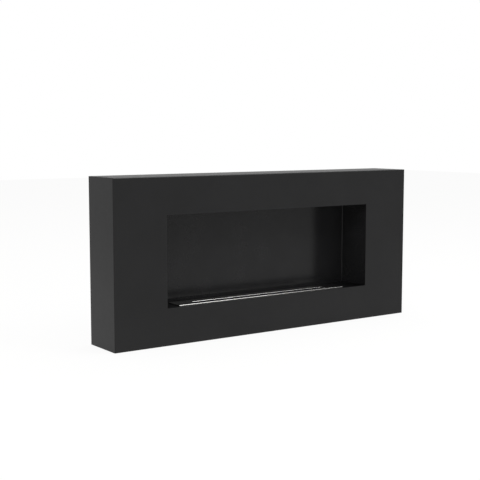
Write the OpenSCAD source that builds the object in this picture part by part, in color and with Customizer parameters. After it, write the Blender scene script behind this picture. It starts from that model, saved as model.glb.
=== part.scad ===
// Wall-hung fireplace with a slot burner for liquid fuel, in folded and welded sheet steel.
// The front faces -Y, the wall is at +Y, and +Z is up.
// The origin is at the middle of the footprint, on the underside of the casing.

/* [Casing] */
// Overall width
casing_w = 900; // [880:5:1200]
// Overall height
casing_h = 400; // [380:5:600]
// Overall depth, from the front plate to the wall
casing_d = 120; // [116:1:180]
// Sheet thickness of the casing
casing_t = 1.5; // [1:0.1:2]
// Outside radius of the folds round the front plate
casing_fold_r = 2; // [1:0.1:4]
// Radius of the ground welds along the edges where the four sides meet
casing_edge_r = 0.8; // [0.4:0.1:1.5]

/* [Front opening] */
// Width of the opening in the front plate
opening_w = 620; // [580:5:660]
// Height of the opening
opening_h = 220; // [180:5:240]
// Height of the opening's lower edge above the base
opening_z = 90; // [86:1:110]

/* [Firebox] */
// Sheet thickness of the firebox
liner_t = 1.2; // [1:0.1:1.5]
// Inside radius of the folds in the firebox sheets
liner_fold_r = 0.8; // [0.4:0.1:1.2]
// How far the walls and the ceiling stand back from the cut edge of the opening
liner_setback = 12; // [8:0.5:16]
// How far the floor lies below the opening's lower edge
floor_drop = 5; // [3:0.5:8]
// Depth of the back panel's face behind the front of the casing
firebox_depth = 110; // [104:0.5:110]
// Width of the flanges that join the firebox sheets
liner_flange_w = 14; // [13:0.5:15]
// Depth of the back tray's rim, which stands round the rear flanges
tray_rim_l = 10; // [6:0.5:14]
// Clearance between the flanges' edges and the fold of the rim
tray_gap = 0.2; // [0.1:0.1:0.5]

/* [Rear cover] */
// Sheet thickness of the rear cover
cover_t = 1.2; // [1:0.1:1.5]
// How far the cover lies inside the rear edge of the casing
rear_recess = 3; // [2.8:0.1:4]
// Gap between the cover's edge and the casing
cover_gap = 1; // [0.5:0.1:2]
// Sheet thickness of the frame angles that carry the cover
frame_t = 1.5; // [1:0.1:2]
// Width of each leg of the frame angles
frame_leg = 16; // [14:0.5:20]

/* [Wall hanging] */
// Distance of each keyhole from the side of the casing
key_inset = 70; // [60:1:72]
// Distance of the keyholes' entry holes below the top of the casing
key_drop = 80; // [70:1:120]
// Radius of the entry hole, which takes the head of the wall screw
key_entry_r = 7; // [6:0.25:8]
// Radius of the hanging slot above it
key_slot_r = 3.25; // [2.5:0.25:4]
// Rise from the entry hole to the end of the hanging slot
key_rise = 18; // [14:1:22]
// Thickness of the plates that double the cover round each keyhole
key_plate_t = 1.5; // [1:0.1:1.8]

/* [Burner] */
// Length of the stainless top trim
trim_l = 516; // [460:2:540]
// Width of the top trim
trim_w = 51; // [40:0.5:54]
// Width of the trim's front land, before the slot
trim_land_w = 5.25; // [4:0.25:7]
// Height of the trim's lip above the firebox floor
trim_h = 3; // [2.6:0.1:4]
// Sheet thickness of the trim
trim_t = 1.2; // [1:0.1:1.5]
// Distance from the front of the casing to the front lip of the trim
trim_depth = 32; // [30:0.5:38]
// Length of the slot
slot_l = 408; // [380:2:420]
// Width of the slot, which is also the width inside the tank
slot_w = 22.5; // [20.5:0.5:23.5]
// How far the trim overlaps the floor at each end of its cut-out
end_lap = 5; // [4:0.5:8]
// Sheet thickness of the tank and the shutter rails
tank_t = 1; // [0.8:0.1:1.2]
// Depth of the tank below the trim
tank_h = 60; // [50:1:60]
// Clearance round the tank where it lifts through the floor
lift_gap = 0.75; // [0.5:0.05:1]
// Clearance round the tank in the burner well
well_gap = 4; // [3:0.25:5]

/* [Damper] */
// Length of each window in the grid and the shutter
window_l = 20; // [16:0.5:20]
// Width of each window
window_w = 14; // [12:0.5:15]
// How far a bar overlaps the window at each end when the damper is shut
shut_lap = 1; // [0.5:0.1:1]
// Sheet thickness of the shutter and the grid
shutter_t = 1; // [0.8:0.1:1.2]
// Distance of the shutter's upper face below the top of the trim
shutter_drop = 4; // [3.4:0.1:5]
// Running clearance of the shutter, beside it and under it
shutter_gap = 0.25; // [0.15:0.05:0.4]

/* [Fasteners] */
// Radius of the weld studs
stud_r = 2; // [1.5:0.25:2.5]
// Length of the weld studs
stud_l = 9; // [8:0.5:12]
// Radius of the rivets
rivet_r = 2; // [1.5:0.1:2.4]
// Radius of the rear cover's screws
screw_r = 2; // [1.5:0.25:2.5]
// Radial clearance of a fastener in its hole
hole_gap = 0.25; // [0.1:0.05:0.4]

/* [Hidden] */
$fn = 48;
// Overshoot of a cut past the face it starts from
cut = 1;

// Casing planes
front_y = -casing_d / 2;
rear_y = casing_d / 2;
plate_back_y = front_y + casing_t;
inner_x = casing_w / 2 - casing_t;
inner_top_z = casing_h - casing_t;
casing_inner_r = max(casing_fold_r - casing_t, 0.3);
opening_mid_z = opening_z + opening_h / 2;
opening_top_z = opening_z + opening_h;

// Firebox planes: the faces that look into the firebox, and the backs of its sheets
wall_x = opening_w / 2 + liner_setback;
floor_z = opening_z - floor_drop;
floor_under_z = floor_z - liner_t;
ceiling_z = opening_top_z + liner_setback;
ceiling_over_z = ceiling_z + liner_t;
back_y = front_y + firebox_depth;
back_rear_y = back_y + liner_t;
front_flange_y = plate_back_y + liner_t;
rear_flange_y = back_y - liner_t;
liner_l = back_y - plate_back_y;
liner_h = ceiling_z - floor_z;
liner_mid_y = (plate_back_y + back_y) / 2;
liner_mid_z = (floor_z + ceiling_z) / 2;
liner_half_w = wall_x + liner_flange_w;
liner_relief = liner_t + liner_fold_r + 0.4;
// The middle of a flange's flat part, measured from the face that looks into the firebox
flange_mid = (liner_flange_w + liner_t + liner_fold_r) / 2;
tray_margin = liner_flange_w + liner_fold_r + tray_gap + liner_t;

// Rear cover and its frame
cover_rear_y = rear_y - rear_recess;
cover_front_y = cover_rear_y - cover_t;
nut_flange_t = 0.6;
frame_rear_y = cover_front_y - nut_flange_t;
frame_front_y = frame_rear_y - frame_t;
frame_fold_r = 1;
cover_corner_r = 2;
frame_screw_inset = frame_t + (frame_leg - frame_t) / 2;
rail_screw_n = 4;
stile_screw_n = 2;

// Keyholes
key_x = casing_w / 2 - key_inset;
key_z = casing_h - key_drop;
key_plate_w = 44;
key_plate_h = 64;
key_plate_z = key_z + key_rise / 2;
key_rivet_inset = 8;
key_plate_corner_r = 4;

// Burner
trim_front_y = front_y + trim_depth;
trim_y = trim_front_y + trim_w / 2;
burner_y = trim_front_y + trim_land_w + slot_w / 2;
trim_top_z = floor_z + trim_h;
trim_under_z = trim_top_z - trim_t;
trim_fold_r = 1.5;
slot_rim_r = 0.9 * trim_t;
tank_l = trim_l - 2 * (end_lap + lift_gap);
tank_w = slot_w + 2 * tank_t;
tank_bottom_z = trim_under_z - tank_h;
tank_fold_r = 1.5;
tank_inner_l = tank_l - 2 * tank_t;
cutout_l = tank_l + 2 * lift_gap;
cutout_w = tank_w + 2 * lift_gap;
well_t = 1;
well_inner_l = tank_l + 2 * well_gap;
well_inner_w = tank_w + 2 * well_gap;
well_bottom_z = tank_bottom_z - well_gap;
well_flange_w = 8;
well_fold_r = 1.5;

// Damper
window_pitch = 2 * (window_l + shut_lap);
window_n = floor((slot_l - window_l) / window_pitch) + 1;
window_corner_r = 2;
travel = window_l + shut_lap;
stop_gap = 0.5;
shutter_l = tank_inner_l - travel - 2 * stop_gap;
shutter_w = slot_w - 2 * shutter_gap;
shutter_x = -travel / 2;
shutter_top_z = trim_top_z - shutter_drop;
ledge_top_z = shutter_top_z - shutter_t - shutter_gap;
ledge_w = 3;
rail_h = 6;
rail_end_gap = 1;
grid_top_z = ledge_top_z - tank_t;
rail_fold_r = 0.3;
grid_w = slot_w - 2 * (tank_t + rail_fold_r);
wool_gap = 0.3;
wool_top_z = ledge_top_z - rail_h - wool_gap;
tab_w = 8;
tab_hole_r = 0.8;
tab_top_gap = 0.6;
tab_top_z = trim_top_z - tab_top_gap;
// The pull tab stands in the middle of the last bar but one
tab_x = window_pitch * (window_n - 2) / 2 - shutter_t / 2;

// Floor brackets
bracket_t = 1.5;
bracket_flange_w = 16;
bracket_fold_r = 1;
bracket_front_inset = 16;
bracket_rear_inset = 26;
bracket_well_gap = 4;
bracket_front_y = front_y + bracket_front_inset;
bracket_rear_y = rear_y - bracket_rear_inset;
bracket_x = well_inner_l / 2 + well_t + well_flange_w + bracket_well_gap;

// Ceiling heat shield
shield_rise = 20;
shield_t = 1;
shield_end_gap = 30;
shield_front_inset = 14;
shield_rear_gap = 6;
shield_l = opening_w - 2 * shield_end_gap;
shield_front_y = front_y + shield_front_inset;
shield_rear_y = back_y - shield_rear_gap;
shield_lip = 6;
shield_stud_inset_x = 30;
shield_stud_inset_y = 18;
shield_stud_n = 3;
spacer_r = 4;

// Fastener forms
nut_r = 4.2;
nut_h = 3.2;
nut_washer_r = 5;
nut_washer_h = 0.8;
stud_nut_over = 1.5;
weld_collar_w = 0.2;
weld_collar_h = 0.5;
thread_gap = 0.05;
head_rim_h = 0.3;
rivet_head_r = 2 * rivet_r;
rivet_head_h = 0.6 * rivet_r;
rivet_tail_r = 1.3 * rivet_r;
rivet_tail_h = 1.6;
screw_head_r = 2 * screw_r;
screw_head_h = 2.2;
screw_socket_r = 0.6 * screw_r;
screw_socket_h = 1.3;
screw_l = 9;
rivet_nut_r = screw_r + 1;
rivet_nut_flange_r = screw_r + 2.2;
rivet_nut_bulge_w = 0.9;
rivet_nut_bulge_h = 1.5;
rivet_nut_l = 7;

// Fastener rows, as places along a centred span
function spread(n, span) = [for (i = [0 : n - 1]) -span / 2 + span * i / (n - 1)];

flange_row_n = 5;
flange_column_n = 3;
flange_row_end = 40;
flange_column_end = 30;
flange_row_x = spread(flange_row_n, opening_w - 2 * flange_row_end);
flange_column_z = [
    for (z = spread(flange_column_n, opening_h - 2 * flange_column_end)) opening_mid_z + z
];
flange_side_x = wall_x + flange_mid;
// The studs in the front flanges and the rivets in the rear ones stand in the same places
flange_points = concat(
    [for (x = flange_row_x, z = [floor_z - flange_mid, ceiling_z + flange_mid]) [x, z]],
    [for (x = [-flange_side_x, flange_side_x], z = flange_column_z) [x, z]]
);

rivet_row_n = 3;
rivet_row_end = 22;
rivet_row_y = [for (y = spread(rivet_row_n, liner_l - 2 * rivet_row_end)) liner_mid_y + y];

rail_screw_end = 60;
stile_screw_end = 100;
rail_screw_x = spread(rail_screw_n, casing_w - 2 * rail_screw_end);
stile_screw_z = spread(stile_screw_n, casing_h - 2 * stile_screw_end);
screw_points = concat(
    [for (x = rail_screw_x, z = [casing_t + frame_screw_inset, inner_top_z - frame_screw_inset]) [x, z]],
    [for (s = [-1, 1], z = stile_screw_z) [s * (inner_x - frame_screw_inset), casing_h / 2 + z]]
);

key_rivet_points = [
    for (dx = [-1, 1], dz = [-1, 1])
        [dx * (key_plate_w / 2 - key_rivet_inset), dz * (key_plate_h / 2 - key_rivet_inset)]
];

shield_stud_points = [
    for (x = spread(shield_stud_n, shield_l - 2 * shield_stud_inset_x),
         y = [shield_front_y + shield_stud_inset_y, shield_rear_y - shield_stud_inset_y])
        [x, y]
];

// Basic forms

// A block between two opposite corners
module block(low, high) {
    translate(low) cube(high - low);
}

// A flat outline in Y and Z, carried along X from x0 to x1
module along_x(x0, x1) {
    translate([x0, 0, 0]) rotate([90, 0, 90]) linear_extrude(x1 - x0) children();
}

// A flat outline in X and Z, carried along Y from y0 to y1
module along_y(y0, y1) {
    translate([0, y1, 0]) rotate([90, 0, 0]) linear_extrude(y1 - y0) children();
}

// A flat outline in X and Y, carried along Z from z0 to z1
module along_z(z0, z1) {
    translate([0, 0, z0]) linear_extrude(z1 - z0) children();
}

// A rectangle between two corners, with round corners
module round_rect(low, high, r) {
    size = high - low;
    translate(low + [r, 0]) square([size.x - 2 * r, size.y]);
    translate(low + [0, r]) square([size.x, size.y - 2 * r]);
    for (x = [low.x + r, high.x - r], y = [low.y + r, high.y - r]) translate([x, y]) circle(r);
}

// A rectangle between two corners whose two corners at the low side of the second axis are round
module round_low_rect(low, high, r) {
    size = high - low;
    translate(low + [r, 0]) square([size.x - 2 * r, r]);
    translate(low + [0, r]) square([size.x, size.y - r]);
    for (x = [low.x + r, high.x - r]) translate([x, low.y + r]) circle(r);
}

// The outline of a folded angle: its outside corner is at the origin and its legs run along +X and +Y
module angle_outline(leg_x, leg_y, t, fold_r) {
    outer_r = fold_r + t;
    translate([outer_r, 0]) square([leg_x - outer_r, t]);
    translate([0, outer_r]) square([t, leg_y - outer_r]);
    translate([outer_r, outer_r]) intersection() {
        difference() {
            circle(outer_r);
            circle(fold_r);
        }
        translate([-outer_r, -outer_r]) square(outer_r);
    }
}

// The outline of a folded channel: the outside of its web lies on X, and its flanges run along +Y
module channel_outline(web, flange, t, fold_r) {
    for (end = [0, 1]) mirror([end, 0]) translate([-web / 2, 0]) angle_outline(web / 2, flange, t, fold_r);
}

// The outline of a cut of width w down through a sheet, whose two upper edges are rounded by r
module rounded_cut_outline(w, r, low, high) {
    translate([-w / 2, low - cut]) square([w, high - low + 2 * cut]);
    difference() {
        translate([-w / 2 - r, high - r]) square([w + 2 * r, r + cut]);
        for (side = [-1, 1]) translate([side * (w / 2 + r), high - r]) circle(r);
    }
}

// A hole along Y
module hole_y(x, z, y0, y1, r) {
    translate([x, y0 - cut, z]) rotate([-90, 0, 0]) cylinder(r = r, h = y1 - y0 + 2 * cut);
}

// A hole along Z
module hole_z(x, y, z0, z1, r) {
    translate([x, y, z0 - cut]) cylinder(r = r, h = z1 - z0 + 2 * cut);
}

// Half the section of a domed head that hangs below z = 0 and has a short upright rim
module dome_outline(r, h) {
    dome_h = h - head_rim_h;
    dome_r = (r * r + dome_h * dome_h) / (2 * dome_h);
    intersection() {
        translate([0, -h]) square([r, h]);
        translate([0, dome_r - h]) circle(dome_r);
    }
}

// A blind rivet along +Z: the domed head is below z = 0, and the sheets lie from 0 to the grip
module rivet(grip) {
    rotate_extrude() {
        square([rivet_r, grip]);
        translate([0, grip]) square([rivet_tail_r, rivet_tail_h]);
        dome_outline(rivet_head_r, rivet_head_h);
    }
}

// A flanged hexagon nut along +Z, with its washer face at z = 0
module flanged_nut() {
    difference() {
        union() {
            cylinder(r = nut_washer_r, h = nut_washer_h);
            cylinder(r = nut_r, h = nut_h, $fn = 6);
        }
        translate([0, 0, -cut]) cylinder(r = stud_r + thread_gap, h = nut_h + 2 * cut);
    }
}

// A weld stud along +Z, with the small collar that the weld leaves
module weld_stud(length) {
    cylinder(r = stud_r, h = length);
    cylinder(r = stud_r + weld_collar_w, h = weld_collar_h);
}

// Casing

// The envelope of the casing up to the plane y = rear, drawn in by inset
module casing_form(inset, fold_r, edge_r, rear) {
    low_y = front_y + inset;
    half_w = casing_w / 2 - inset;
    intersection() {
        along_z(inset, casing_h - inset) round_low_rect([-half_w, low_y], [half_w, rear], fold_r);
        along_x(-half_w, half_w)
            mirror([1, -1]) round_low_rect([inset, low_y], [casing_h - inset, rear], fold_r);
        along_y(low_y, rear) round_rect([-half_w, inset], [half_w, casing_h - inset], edge_r);
    }
}

module front_casing() {
    color("#26272a") difference() {
        casing_form(0, casing_fold_r, casing_edge_r, rear_y);
        casing_form(casing_t, casing_inner_r, casing_inner_r, rear_y + cut);
        block([-opening_w / 2, front_y - cut, opening_z],
              [opening_w / 2, plate_back_y + cut, opening_top_z]);
    }
}

module front_plate_studs() {
    color("#8a8d90") for (p = flange_points)
        translate([p.x, plate_back_y, p.y]) rotate([-90, 0, 0]) weld_stud(stud_l);
}

// The rails stop short of the casing's rounded inner edges
module rear_frame_rails() {
    half_l = inner_x - casing_inner_r;
    color("#2c2d30") for (side = [0, 1]) translate([0, 0, side * casing_h]) mirror([0, 0, side])
        difference() {
            along_x(-half_l, half_l) translate([frame_rear_y, casing_t]) mirror([1, 0])
                angle_outline(frame_leg, frame_leg, frame_t, frame_fold_r);
            for (x = rail_screw_x)
                hole_y(x, casing_t + frame_screw_inset, frame_front_y, frame_rear_y, rivet_nut_r + hole_gap);
        }
}

module rear_frame_stiles() {
    low_z = casing_t + frame_leg;
    color("#2c2d30") for (side = [0, 1]) mirror([side, 0, 0]) difference() {
        along_z(low_z, casing_h - low_z) translate([inner_x, frame_rear_y]) mirror([1, 0]) mirror([0, 1])
            angle_outline(frame_leg, frame_leg, frame_t, frame_fold_r);
        for (z = stile_screw_z)
            hole_y(inner_x - frame_screw_inset, casing_h / 2 + z, frame_front_y, frame_rear_y,
                   rivet_nut_r + hole_gap);
    }
}

// A keyhole along Y: the entry hole, and the hanging slot above it
module keyhole(y0, y1) {
    hole_y(0, key_z, y0, y1, key_entry_r);
    hole_y(0, key_z + key_rise, y0, y1, key_slot_r);
    block([-key_slot_r, y0 - cut, key_z], [key_slot_r, y1 + cut, key_z + key_rise]);
}

module rear_cover() {
    half_w = inner_x - cover_gap;
    low_z = casing_t + cover_gap;
    color("#303134") difference() {
        along_y(cover_front_y, cover_rear_y)
            round_rect([-half_w, low_z], [half_w, casing_h - low_z], cover_corner_r);
        for (p = screw_points) hole_y(p.x, p.y, cover_front_y, cover_rear_y, screw_r + hole_gap);
        for (side = [-1, 1]) translate([side * key_x, 0, 0]) {
            keyhole(cover_front_y, cover_rear_y);
            for (p = key_rivet_points)
                hole_y(p.x, key_plate_z + p.y, cover_front_y, cover_rear_y, rivet_r + hole_gap);
        }
    }
}

module rear_rivet_nuts() {
    color("#9a9d9f") for (p = screw_points) translate([p.x, frame_rear_y, p.y]) rotate([90, 0, 0])
        difference() {
            union() {
                translate([0, 0, -nut_flange_t]) cylinder(r = rivet_nut_flange_r, h = nut_flange_t);
                cylinder(r = rivet_nut_r, h = rivet_nut_l);
                translate([0, 0, frame_t])
                    cylinder(r = rivet_nut_r + rivet_nut_bulge_w, h = rivet_nut_bulge_h);
            }
            translate([0, 0, -nut_flange_t - cut])
                cylinder(r = screw_r + thread_gap, h = rivet_nut_l + nut_flange_t + 2 * cut);
        }
}

module rear_cover_screws() {
    color("#9a9d9f") for (p = screw_points) translate([p.x, cover_rear_y, p.y]) rotate([90, 0, 0])
        difference() {
            union() {
                cylinder(r = screw_r, h = screw_l);
                rotate_extrude() dome_outline(screw_head_r, screw_head_h);
            }
            translate([0, 0, -screw_head_h - cut])
                cylinder(r = screw_socket_r, h = cut + screw_socket_h, $fn = 6);
        }
}

module keyhole_plates() {
    low_y = cover_front_y - key_plate_t;
    color("#303134") for (side = [-1, 1]) translate([side * key_x, 0, 0]) difference() {
        along_y(low_y, cover_front_y)
            round_rect([-key_plate_w / 2, key_plate_z - key_plate_h / 2],
                       [key_plate_w / 2, key_plate_z + key_plate_h / 2], key_plate_corner_r);
        keyhole(low_y, cover_front_y);
        for (p = key_rivet_points) hole_y(p.x, key_plate_z + p.y, low_y, cover_front_y, rivet_r + hole_gap);
    }
}

module keyhole_plate_rivets() {
    color("#9a9d9f") for (side = [-1, 1], p = key_rivet_points)
        translate([side * key_x + p.x, cover_rear_y, key_plate_z + p.y]) rotate([90, 0, 0])
            rivet(cover_t + key_plate_t);
}

// Firebox

// The floor, and mirrored the ceiling: it lies under z = 0, and its flanges turn down
module cross_sheet() {
    difference() {
        along_x(-liner_half_w, liner_half_w) translate([liner_mid_y, 0]) mirror([0, 1])
            channel_outline(liner_l, liner_flange_w, liner_t, liner_fold_r);
        for (x = flange_row_x) {
            hole_y(x, -flange_mid, plate_back_y, front_flange_y, stud_r + hole_gap);
            hole_y(x, -flange_mid, rear_flange_y, back_y, rivet_r + hole_gap);
        }
        for (side = [-1, 1], y = rivet_row_y)
            hole_z(side * flange_side_x, y, -liner_t, 0, rivet_r + hole_gap);
    }
}

module firebox_floor() {
    color("#1b1c1e") difference() {
        translate([0, 0, floor_z]) cross_sheet();
        block([-cutout_l / 2, burner_y - cutout_w / 2, floor_under_z - cut],
              [cutout_l / 2, burner_y + cutout_w / 2, floor_z + cut]);
    }
}

module firebox_ceiling() {
    color("#1b1c1e") translate([0, 0, ceiling_z]) mirror([0, 0, 1]) cross_sheet();
}

// The right wall: its four flanges turn outwards, and stop short of each other at the corners
module side_wall() {
    difference() {
        union() {
            along_z(floor_z + liner_relief, ceiling_z - liner_relief)
                translate([wall_x, liner_mid_y]) mirror([1, 0]) rotate(90)
                    channel_outline(liner_l, liner_flange_w, liner_t, liner_fold_r);
            along_y(plate_back_y + liner_relief, back_y - liner_relief)
                translate([wall_x, liner_mid_z]) mirror([1, 0]) rotate(90)
                    channel_outline(liner_h, liner_flange_w, liner_t, liner_fold_r);
        }
        for (z = flange_column_z) {
            hole_y(flange_side_x, z, plate_back_y, front_flange_y, stud_r + hole_gap);
            hole_y(flange_side_x, z, rear_flange_y, back_y, rivet_r + hole_gap);
        }
        for (y = rivet_row_y, z = [floor_z, ceiling_z - liner_t])
            hole_z(flange_side_x, y, z, z + liner_t, rivet_r + hole_gap);
    }
}

// The left wall is the mirror image of the right one
module firebox_left_wall() {
    color("#1b1c1e") mirror([1, 0, 0]) side_wall();
}

module firebox_right_wall() {
    color("#1b1c1e") side_wall();
}

// The tray closes the rear like a lid: its rim turns forwards round the flanges, open at the corners
module firebox_back_tray() {
    half_w = wall_x + tray_margin;
    low_z = floor_z - tray_margin;
    high_z = ceiling_z + tray_margin;
    color("#242527") difference() {
        union() {
            along_z(low_z + liner_relief, high_z - liner_relief) translate([0, back_rear_y]) mirror([0, 1])
                channel_outline(2 * half_w, tray_rim_l, liner_t, liner_fold_r);
            along_x(-half_w + liner_relief, half_w - liner_relief)
                translate([back_rear_y, liner_mid_z]) rotate(90)
                    channel_outline(high_z - low_z, tray_rim_l, liner_t, liner_fold_r);
        }
        for (p = flange_points) hole_y(p.x, p.y, back_y, back_rear_y, rivet_r + hole_gap);
    }
}

module firebox_nuts() {
    color("#9a9d9f") for (p = flange_points)
        translate([p.x, front_flange_y, p.y]) rotate([-90, 0, 0]) flanged_nut();
}

module firebox_rivets() {
    color("#8a8d90") {
        for (side = [-1, 1], y = rivet_row_y) {
            translate([side * flange_side_x, y, floor_z + liner_t]) rotate([180, 0, 0]) rivet(2 * liner_t);
            translate([side * flange_side_x, y, ceiling_z - liner_t]) rivet(2 * liner_t);
        }
        for (p = flange_points) translate([p.x, back_rear_y, p.y]) rotate([90, 0, 0]) rivet(2 * liner_t);
    }
}

module floor_brackets() {
    top_z = floor_under_z;
    mid_z = (casing_t + top_z) / 2;
    color("#55585c") for (side = [0, 1]) mirror([side, 0, 0]) along_y(bracket_front_y, bracket_rear_y) {
        translate([bracket_x, casing_t])
            angle_outline(bracket_flange_w, mid_z - casing_t, bracket_t, bracket_fold_r);
        translate([bracket_x, top_z]) mirror([0, 1])
            angle_outline(bracket_flange_w, top_z - mid_z, bracket_t, bracket_fold_r);
    }
}

module burner_well() {
    half_l = well_inner_l / 2;
    half_w = well_inner_w / 2;
    flange = well_t + well_flange_w;
    color("#6d7175") translate([0, burner_y, 0]) difference() {
        union() {
            along_x(-half_l - well_t, half_l + well_t)
                round_low_rect([-half_w - well_t, well_bottom_z - well_t], [half_w + well_t, floor_under_z],
                               well_fold_r + well_t);
            block([-half_l - flange, -half_w - flange, floor_under_z - well_t],
                  [half_l + flange, half_w + flange, floor_under_z]);
        }
        along_x(-half_l, half_l)
            round_low_rect([-half_w, well_bottom_z], [half_w, floor_under_z + cut], well_fold_r);
    }
}

module ceiling_heat_shield() {
    low_z = ceiling_over_z + shield_rise;
    color("#a4a7a8") difference() {
        along_x(-shield_l / 2, shield_l / 2) translate([(shield_front_y + shield_rear_y) / 2, low_z])
            channel_outline(shield_rear_y - shield_front_y, shield_lip, shield_t, liner_fold_r);
        for (p = shield_stud_points) hole_z(p.x, p.y, low_z, low_z + shield_t, stud_r + hole_gap);
    }
}

module heat_shield_studs() {
    color("#8a8d90") for (p = shield_stud_points)
        translate([p.x, p.y, ceiling_over_z]) weld_stud(shield_rise + shield_t + nut_h + stud_nut_over);
}

module heat_shield_spacers() {
    color("#9a9d9f") for (p = shield_stud_points) translate([p.x, p.y, ceiling_over_z]) difference() {
        cylinder(r = spacer_r, h = shield_rise);
        translate([0, 0, -cut]) cylinder(r = stud_r + hole_gap, h = shield_rise + 2 * cut);
    }
}

module heat_shield_nuts() {
    color("#9a9d9f") for (p = shield_stud_points)
        translate([p.x, p.y, ceiling_over_z + shield_rise + shield_t]) flanged_nut();
}

// Burner

module burner_top_trim() {
    half_l = trim_l / 2;
    half_w = trim_w / 2;
    color("#c9ccce") translate([0, trim_y, 0]) difference() {
        intersection() {
            along_x(-half_l, half_l) translate([0, floor_z + trim_top_z]) mirror([0, 1])
                round_low_rect([-half_w, floor_z], [half_w, trim_top_z], trim_fold_r);
            along_y(-half_w, half_w) translate([0, floor_z + trim_top_z]) mirror([0, 1])
                round_low_rect([-half_l, floor_z], [half_l, trim_top_z], trim_fold_r);
        }
        block([-half_l + trim_t, -half_w + trim_t, floor_z - cut],
              [half_l - trim_t, half_w - trim_t, trim_under_z]);
        intersection() {
            along_x(-half_l, half_l) translate([burner_y - trim_y, 0])
                rounded_cut_outline(slot_w, slot_rim_r, trim_under_z, trim_top_z);
            along_y(-half_w, half_w) rounded_cut_outline(slot_l, slot_rim_r, trim_under_z, trim_top_z);
        }
    }
}

module burner_tank() {
    half_l = tank_l / 2;
    half_w = tank_w / 2;
    color("#b4b8bb") translate([0, burner_y, 0]) difference() {
        along_x(-half_l, half_l)
            round_low_rect([-half_w, tank_bottom_z], [half_w, trim_under_z], tank_fold_r + tank_t);
        along_x(-half_l + tank_t, half_l - tank_t)
            round_low_rect([-slot_w / 2, tank_bottom_z + tank_t],
                           [slot_w / 2, trim_under_z + cut], tank_fold_r);
    }
}

module ceramic_wool() {
    half_l = tank_inner_l / 2 - wool_gap;
    half_w = slot_w / 2 - wool_gap;
    color("#e9e6dd") translate([0, burner_y, 0]) along_x(-half_l, half_l)
        round_low_rect([-half_w, tank_bottom_z + tank_t], [half_w, wool_top_z], tank_fold_r);
}

// The windows that the flame burns through, cut down through a strip
module windows(low_z, high_z) {
    for (x = spread(window_n, window_pitch * (window_n - 1))) translate([x, 0, 0])
        along_z(low_z - cut, high_z + cut)
            round_rect([-window_l / 2, -window_w / 2], [window_l / 2, window_w / 2], window_corner_r);
}

module burner_grid() {
    low_z = grid_top_z - shutter_t;
    half_l = tank_inner_l / 2 - rail_end_gap;
    color("#9fa3a6") translate([0, burner_y, 0]) difference() {
        block([-half_l, -grid_w / 2, low_z], [half_l, grid_w / 2, grid_top_z]);
        windows(low_z, grid_top_z);
    }
}

// The front rail; the rear one is its mirror image
module shutter_rail() {
    half_l = tank_inner_l / 2 - rail_end_gap;
    color("#9fa3a6") translate([0, burner_y, 0]) along_x(-half_l, half_l)
        translate([-slot_w / 2, ledge_top_z]) mirror([0, 1])
            angle_outline(ledge_w, rail_h, tank_t, rail_fold_r);
}

module shutter_front_rail() {
    shutter_rail();
}

module shutter_rear_rail() {
    translate([0, 2 * burner_y, 0]) mirror([0, 1, 0]) shutter_rail();
}

module damper_shutter() {
    low_z = shutter_top_z - shutter_t;
    half_w = shutter_w / 2;
    color("#aeb1b4") translate([0, burner_y, 0]) {
        difference() {
            block([shutter_x - shutter_l / 2, -half_w, low_z],
                  [shutter_x + shutter_l / 2, half_w, shutter_top_z]);
            windows(low_z, shutter_top_z);
        }
        // The pull tab stands up across the strip, inside the slot
        difference() {
            block([tab_x, -tab_w / 2, shutter_top_z - shutter_t], [tab_x + shutter_t, tab_w / 2, tab_top_z]);
            translate([tab_x - cut, 0, (shutter_top_z + tab_top_z) / 2]) rotate([0, 90, 0])
                cylinder(r = tab_hole_r, h = shutter_t + 2 * cut);
        }
    }
}

front_casing();
front_plate_studs();
rear_frame_rails();
rear_frame_stiles();
rear_cover();
rear_rivet_nuts();
rear_cover_screws();
keyhole_plates();
keyhole_plate_rivets();
firebox_floor();
firebox_ceiling();
firebox_left_wall();
firebox_right_wall();
firebox_back_tray();
firebox_nuts();
firebox_rivets();
floor_brackets();
burner_well();
ceiling_heat_shield();
heat_shield_studs();
heat_shield_spacers();
heat_shield_nuts();
burner_top_trim();
burner_tank();
ceramic_wool();
burner_grid();
shutter_front_rail();
shutter_rear_rail();
damper_shutter();
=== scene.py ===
"""A wall-hung fireplace with a slot burner, dressed for a studio photograph.

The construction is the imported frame. This script gives every sheet and fastener its real finish, makes
the ceramic felt, the end welds and the corner seals, and sets up the studio. Lengths are in metres in the
frame's own axes: the front faces -Y, the wall is at +Y and +Z is up.
"""
import logging
import math
import random
from dataclasses import dataclass
from enum import Enum

import bpy
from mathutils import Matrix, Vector, noise


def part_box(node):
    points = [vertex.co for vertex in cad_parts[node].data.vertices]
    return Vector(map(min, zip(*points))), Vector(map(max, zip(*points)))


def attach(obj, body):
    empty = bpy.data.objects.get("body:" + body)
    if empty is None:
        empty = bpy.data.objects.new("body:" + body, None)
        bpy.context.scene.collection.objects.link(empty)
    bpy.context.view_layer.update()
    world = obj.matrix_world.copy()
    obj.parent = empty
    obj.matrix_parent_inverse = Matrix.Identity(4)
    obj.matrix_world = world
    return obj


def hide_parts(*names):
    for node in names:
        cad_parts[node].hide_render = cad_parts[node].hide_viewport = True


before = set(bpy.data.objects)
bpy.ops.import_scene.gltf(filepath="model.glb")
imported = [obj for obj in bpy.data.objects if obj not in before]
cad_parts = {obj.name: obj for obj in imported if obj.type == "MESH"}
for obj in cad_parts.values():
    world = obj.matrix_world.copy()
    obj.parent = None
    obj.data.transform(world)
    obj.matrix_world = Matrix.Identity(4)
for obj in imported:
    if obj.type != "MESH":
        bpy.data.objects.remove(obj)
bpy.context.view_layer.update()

LOG = logging.getLogger("fireplace")
MM = 0.001
# Soft noise seldom leaves this band, so a smooth step over it uses the whole height of the step.
NOISE_BAND = {"From Min": 0.3, "From Max": 0.7}
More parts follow.
